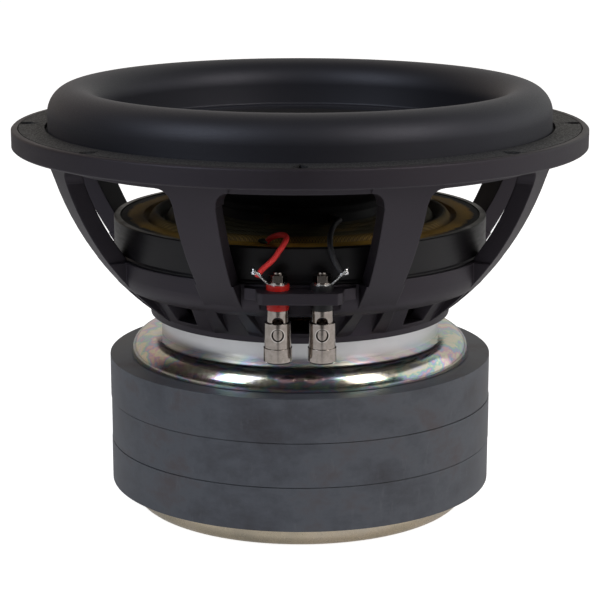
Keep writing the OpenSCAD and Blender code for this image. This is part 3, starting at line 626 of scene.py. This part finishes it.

# %% [markdown]
# ## The flexible leads
# Each lead is tinsel wire inside a woven sleeve, 2.5 mm thick. The red ones end on the spider close
# to the spacer. The black ones cross over to the voice coil, so they hang in a bow that takes up the
# stroke. A tube is drawn along each one's line: the points are joined as edges, turned into a curve,
# given its thickness and turned back into a mesh. A black lead is not tied to the cone. A red
# lead has both ends on the frame's side and stays still.

# %% Routes of the leads, in mm, from the lug inwards
RED_ROUTE = [
    (-18.2, -92.5, 127.0), (-17.6, -92.4, 128.4), (-16.0, -92.0, 130.2), (-14.2, -91.5, 131.8),
    (-12.3, -91.0, 133.4), (-10.6, -90.4, 135.2), (-9.2, -89.6, 137.2), (-7.8, -88.6, 139.0),
    (-6.6, -86.8, 140.6), (-5.9, -84.4, 141.6), (-5.9, -81.8, 142.3), (-7.0, -79.6, 142.6),
    (-9.0, -77.8, 142.3), (-11.3, -76.4, 141.4), (-13.4, -75.3, 140.0), (-14.8, -74.6, 138.0)]
BLACK_ROUTE = [
    (18.2, -92.5, 127.0), (17.8, -92.4, 128.4), (16.4, -92.0, 130.6), (15.0, -91.4, 133.2),
    (13.9, -90.4, 136.0), (13.1, -88.6, 138.6), (12.8, -86.0, 140.6), (12.9, -82.4, 142.2),
    (13.4, -78.0, 143.4), (14.0, -73.0, 144.2), (15.0, -67.0, 144.7), (16.3, -60.6, 144.7),
    (17.4, -54.0, 144.2), (17.6, -48.0, 143.2), (17.0, -42.6, 142.3), (15.4, -36.6, 142.0)]


def smoothed(points, parts):
    """A rounder line through the same points (Catmull-Rom), as Vectors."""
    ends = [Vector(p) for p in [points[0], *points, points[-1]]]
    line = []
    for a, b, c, d in zip(ends, ends[1:], ends[2:], ends[3:]):
        for step in range(parts):
            t = step / parts
            line.append(0.5 * (2 * b + (c - a) * t + (2 * a - 5 * b + 4 * c - d) * t ** 2
                               + (3 * b - a - 3 * c + d) * t ** 3))
    return line + [ends[-1]]


def tube_along(name, line, radius, sides=3):
    """A round tube along a line of points in mm; sides is the curve's bevel resolution."""
    obj = start_point(name, Vector(line[0]) * MM)
    for a, b in zip(line, line[1:]):
        bpy.ops.mesh.extrude_region_move(TRANSFORM_OT_translate={"value": (Vector(b) - Vector(a)) * MM})
    bpy.ops.object.mode_set(mode="OBJECT")
    bpy.ops.object.convert(target="CURVE")
    obj = bpy.context.object
    obj.data.bevel_depth = radius * MM
    obj.data.bevel_resolution = sides
    obj.data.use_fill_caps = True
    bpy.ops.object.convert(target="MESH")
    obj = bpy.context.object
    obj.name = obj.data.name = name
    bpy.ops.object.mode_set(mode="EDIT")
    bpy.ops.mesh.select_all(action="SELECT")
    bpy.ops.mesh.normals_make_consistent(inside=False)
    bpy.ops.object.mode_set(mode="OBJECT")
    bpy.ops.object.shade_smooth_by_angle(angle=math.radians(50))
    return obj


# %% Woven sleeve
def woven(name, thread, gap, rough):
    """Crossing threads on the tube's own coordinates: one runs along it, the other round it."""
    made = Finish(name)
    along, around, _ = made.split(made.node("ShaderNodeUVMap").outputs["UV"])
    turns = made.math("MULTIPLY", around, 2 * math.pi * 8)
    length = made.math("MULTIPLY", along, 2 * math.pi * 60)
    one = made.math("SINE", made.math("ADD", turns, length))
    other = made.math("SINE", made.math("SUBTRACT", turns, length))
    weave = made.spread(made.math("MAXIMUM", one, other), -0.6, 1.0, 0.0, 1.0)
    made.set(Base_Color=made.mix(weave, gap, thread),
             Roughness=made.spread(made.noise(900), 0.3, 0.7, rough, rough + 0.15),
             Normal=made.bump(weave, 0.12, 0.8, made.bump(made.noise(2500), 0.02, 0.4)))
    return made


red_sleeve = woven("red_woven_sleeve", (1.0, 0.050, 0.045), (0.60, 0.016, 0.015), 0.42)
black_sleeve = woven("black_woven_sleeve", (0.020, 0.020, 0.024), (0.006, 0.006, 0.007), 0.40)

# %% The four leads
LEAD_THICK = 2.5
for turn, row in ((0, "front"), (180, "rear")):
    for colour, route, sleeve in (("red", RED_ROUTE, red_sleeve), ("black", BLACK_ROUTE, black_sleeve)):
        line = [Matrix.Rotation(math.radians(turn), 3, "Z") @ p for p in smoothed(route, 4)]
        lead = tube_along(f"woven_lead_{row}_{colour}", line, LEAD_THICK / 2)
        worn(lead, sleeve)
        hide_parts(f"lead_{row}_{colour}")
        if colour == "black":
            flexes(lead, 73.5, 40)
        else:
            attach(lead, "frame")

# %% [markdown]
# ## Solder and tinsel
# The tinsel comes out of the sleeve, goes through the hole in the lug's tab, and is held by a blob of
# solder that has run a little along the tab. At the inner end the red lead's tinsel is stitched into
# the spider and glued. A blob starts as a fine ball, is flattened to the tab's slope and gets a few
# lumps from a displace modifier, so that no two blobs are quite alike.

# %% Solder blobs
LUG_BASE = (TERMINAL_X + 4.2, TERMINAL_Y, 123.8)     # where the tab bends up at 45 degrees
TAB = 10.2                                           # length of the tab
BEAD_SHARE, BEAD_LIFT = 0.56, 0.8                    # how far along the tab, and how high over it
lumps = bpy.data.textures.new("lumps", "CLOUDS")
lumps.noise_scale = 0.0016


def blob(name, at, size, tilt):
    bpy.ops.object.select_all(action="DESELECT")
    bpy.ops.mesh.primitive_ico_sphere_add(subdivisions=4, radius=MM, location=Vector(at) * MM,
                                          scale=size, rotation=(0, math.radians(tilt), 0))
    obj = bpy.context.object
    obj.name = obj.data.name = name
    bpy.ops.object.transform_apply(location=True, rotation=True, scale=True)
    modifier = obj.modifiers.new("lumps", "DISPLACE")
    modifier.texture = lumps
    modifier.texture_coords = "LOCAL"
    modifier.mid_level = 0.5
    modifier.strength = 0.0007
    bpy.ops.object.modifier_apply(modifier="lumps")
    bpy.ops.object.shade_smooth()
    return obj


solder = Finish("bright_solder")
flow = solder.noise(700, 3.0)
solder.set(Base_Color=solder.mix(flow, (0.52, 0.52, 0.53), (0.86, 0.86, 0.87)), Metallic=1.0,
           Roughness=solder.spread(flow, 0.3, 0.7, 0.12, 0.30), Normal=solder.bump(flow, 0.08, 0.6))
for side, (sx, sy) in TERMINALS.items():
    reach = BEAD_SHARE * TAB * math.cos(math.radians(45))
    at = (sx * (LUG_BASE[0] + reach), sy * LUG_BASE[1], LUG_BASE[2] + reach + BEAD_LIFT)
    bead = blob("solder_" + side, at, (2.1, 1.5, 0.75), -45 * sx)
    worn(bead, solder)
    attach(bead, "frame")
    print(bead.name, "has", len(bead.data.polygons), "faces")

# %% Tinsel strands between the sleeve's end and the solder
STRANDS, BUNDLE_R, STRAND_R = 7, 0.55, 0.16
for side, (sx, sy) in TERMINALS.items():
    low = Vector((sx * 20.6, sy * TERMINAL_Y, 128.6))
    high = Vector((sx * 17.9, sy * 92.4, 128.2))
    strands = []
    for turn in range(STRANDS):
        angle = 2 * math.pi * turn / STRANDS
        shift = Vector((0, BUNDLE_R * math.cos(angle), BUNDLE_R * math.sin(angle)))
        middle = (low + high) / 2 + shift * 1.5 + Vector((0, 0, 0.4))
        line = smoothed([low + shift * 0.4, middle, high + shift], 4)
        strands.append(tube_along(f"strand_{side}_{turn}", line, STRAND_R, 1))
    only(strands[0])
    for strand in strands:
        strand.select_set(True)
    bpy.ops.object.join()
    tinsel = bpy.context.object
    tinsel.name = tinsel.data.name = "tinsel_" + side
    worn(tinsel, solder)
    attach(tinsel, "frame")

# %% Green tarnished tinsel where each red lead meets the spider
green = Finish("tarnished_tinsel")
patina = green.noise(1100, 4.0, 0.6)
green.set(Base_Color=green.mix(patina, (0.006, 0.012, 0.008), (0.035, 0.060, 0.040)),
          Metallic=0.3, Roughness=green.spread(patina, 0.3, 0.7, 0.35, 0.6),
          Normal=green.bump(patina, 0.15, 0.7))
for turn, row in ((0, "front"), (180, "rear")):
    stitch = blob("stitch_" + row, (-15.6, -74.4, 138.9), (2.6, 2.0, 1.0), 10)
    placed(stitch, turn=turn)
    worn(stitch, green)
    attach(stitch, "frame")

# %% [markdown]
# ## The springs in the push terminals
# A coil spring of 0.6 mm wire stands in each sleeve's cap and presses the cap away from the post. A
# ring of wire is given height and turns by a screw modifier. The coil keeps its modelled length and
# is fixed to the frame.

# %% Springs
SPRING_LOW, SPRING_HIGH = 91.55, 99.45
SPRING_R, WIRE_R = 4.2, 0.3
WIRE_SIDES = 10
SPRING_TURNS = 4
for side, (sx, sy) in TERMINALS.items():
    bpy.ops.object.select_all(action="DESELECT")
    bpy.ops.mesh.primitive_circle_add(vertices=WIRE_SIDES, radius=WIRE_R * MM, fill_type="NOTHING",
                                      location=(SPRING_R * MM, 0, SPRING_LOW * MM),
                                      rotation=(math.pi / 2, 0, 0))
    coil = bpy.context.object
    coil.name = coil.data.name = "coil_spring_" + side
    bpy.ops.object.transform_apply(location=True, rotation=True, scale=True)
    winding = coil.modifiers.new("winding", "SCREW")
    winding.axis = "Z"
    winding.steps = winding.render_steps = 28
    winding.iterations = SPRING_TURNS
    winding.screw_offset = (SPRING_HIGH - SPRING_LOW) / SPRING_TURNS * MM
    bpy.ops.object.modifier_apply(modifier="winding")
    bpy.ops.object.mode_set(mode="EDIT")
    bpy.ops.mesh.select_all(action="DESELECT")
    bpy.ops.mesh.select_non_manifold()
    bpy.ops.mesh.fill_holes(sides=WIRE_SIDES)
    bpy.ops.mesh.select_all(action="SELECT")
    bpy.ops.mesh.normals_make_consistent(inside=False)
    bpy.ops.object.mode_set(mode="OBJECT")
    bpy.ops.object.shade_smooth_by_angle(angle=math.radians(50))
    placed(coil, (sx * TERMINAL_X, sy * TERMINAL_Y, 0))
    worn(coil, tinned)
    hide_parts("spring_" + side)
    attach(coil, "frame")
    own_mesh(coil)
    print(coil.name, "has", len(coil.data.polygons), "faces")

# %% [markdown]
# ## The floor and the light
# A pale floor runs far back. Two large soft boxes hang high over the left and right shoulders of the
# camera: their shapes show in the plated top plate, the left one a little bluer than the right one.
# A third, weak one stands far to the right. Behind the driver is a bright wall, and the room and the
# floor are dark on the camera's side. A black driver needs a dim room, or it turns grey, and a pale
# floor in a dim room turns grey too. So the floor and the sky give the camera some light of their own
# that the driver doesn't receive.

# %% Floor
bpy.ops.object.select_all(action="DESELECT")
bpy.ops.mesh.primitive_plane_add(size=40, location=(0, 0, 0))
floor = bpy.context.object
floor.name = "floor"
pale = Finish("pale_floor")
seen = pale.node("ShaderNodeLightPath").outputs["Is Camera Ray"]
FLOOR_GLOW, NEAR_GLOW = 0.86, 0.22      # what the camera sees, and what the driver receives
DARK_FROM, DARK_TO = 0.43, 0.50         # where the dark part in front begins, in metres
fx, fy, _ = pale.split()
ahead = pale.math("SUBTRACT", pale.math("MULTIPLY", fy, -1.0),
                  pale.math("MULTIPLY", pale.math("ABSOLUTE", fx), 0.5))
dark = pale.spread(ahead, DARK_FROM, DARK_TO, 0.0, 1.0)
from_middle = pale.math("SQRT", pale.math("ADD", pale.math("MULTIPLY", fx, fx),
                                          pale.math("MULTIPLY", fy, fy)))
near = pale.math("MULTIPLY", pale.spread(from_middle, 0.3, 0.7, NEAR_GLOW, 0.0),
                 pale.math("SUBTRACT", 1.0, dark))
table = pale.mix(pale.noise(3.0), (0.78, 0.78, 0.79), (0.80, 0.80, 0.81))
pale.set(Base_Color=pale.mix(dark, table, (0.10, 0.10, 0.10)), Roughness=0.9,
         Emission_Color=(1, 1, 1, 1),
         Emission_Strength=pale.math("MAXIMUM", pale.math("MULTIPLY", seen, FLOOR_GLOW), near))
worn(floor, pale)

# %% The room: dark where the camera stands, a little lighter overhead, and a bright wall behind
HORIZON_LIGHT, OVERHEAD_LIGHT, WALL_LIGHT = 0.02, 0.12, 0.62
LEFT_TINT, RIGHT_TINT = (0.78, 0.68, 0.60, 1), (0.99, 1.0, 0.95, 1)
world = bpy.data.worlds.new("studio")
world.use_nodes = True
sky = world.node_tree
background = sky.nodes["Background"]


def sky_node(kind, links=(), **values):
    made = sky.nodes.new(kind)
    for socket, source in links:
        sky.links.new(source, made.inputs[socket])
    for socket, value in values.items():
        made.inputs[socket.replace("_", " ")].default_value = value
    return made


direction = sky_node("ShaderNodeTexCoord").outputs["Generated"]
way = sky_node("ShaderNodeSeparateXYZ", [("Vector", direction)]).outputs
overhead = sky_node("ShaderNodeMapRange", [("Value", way["Z"])], From_Max=0.9,
                    To_Min=HORIZON_LIGHT, To_Max=OVERHEAD_LIGHT).outputs["Result"]
behind = sky_node("ShaderNodeMapRange", [("Value", way["Y"])], From_Min=0.25, From_Max=0.6,
                  To_Min=0.0, To_Max=WALL_LIGHT).outputs["Result"]
glow = sky_node("ShaderNodeMath", [(0, overhead), (1, behind)]).outputs[0]
camera_ray = sky_node("ShaderNodeLightPath").outputs["Is Camera Ray"]
strength = sky_node("ShaderNodeMath", [(0, glow), (1, camera_ray)])
strength.operation = "MAXIMUM"
sky.links.new(strength.outputs[0], background.inputs["Strength"])
tint = sky_node("ShaderNodeValToRGB", [("Fac", sky_node(
    "ShaderNodeMapRange", [("Value", way["X"])], From_Min=-0.6, From_Max=0.6).outputs["Result"])])
tint.color_ramp.elements[0].color = LEFT_TINT
tint.color_ramp.elements[1].color = RIGHT_TINT
seen_white = sky.nodes.new("ShaderNodeMix")
seen_white.data_type = "RGBA"
sky.links.new(camera_ray, seen_white.inputs[0])
sky.links.new(tint.outputs["Color"], seen_white.inputs[6])
seen_white.inputs[7].default_value = (1, 1, 1, 1)
sky.links.new(seen_white.outputs[2], background.inputs["Color"])
bpy.context.scene.world = world
bpy.context.scene.view_settings.view_transform = "Standard"


# %% Soft boxes
BOX_SIDE, BOX_FRONT, BOX_HEIGHT = 0.92, -0.82, 0.95
BOX_SIZE = (0.55, 0.95)
AIM = Vector((0, 0, 0.1))               # the middle of the driver


def soft_box(name, place, size, power, colour):
    data = bpy.data.lights.new(name, "AREA")
    data.shape = "RECTANGLE"
    data.size, data.size_y = size
    data.energy = power
    data.color = colour
    lamp = bpy.data.objects.new(name, data)
    lamp.location = place
    toward = AIM - Vector(place)
    lamp.rotation_euler = toward.to_track_quat("-Z", "Y").to_euler()
    bpy.context.scene.collection.objects.link(lamp)


soft_box("box_left", (-BOX_SIDE, BOX_FRONT, BOX_HEIGHT), BOX_SIZE, 9.5, (0.84, 0.91, 1.0))
soft_box("box_right", (BOX_SIDE, BOX_FRONT, BOX_HEIGHT), BOX_SIZE, 10.5, (1.0, 0.96, 0.93))
soft_box("side_right", (1.3, 0.1, 0.45), (1.2, 0.8), 3, (0.97, 0.98, 1.0))

# %% Parts that are still without a finish are printed
for name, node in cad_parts.items():
    if not node.data.materials:
        print("no finish yet:", name)
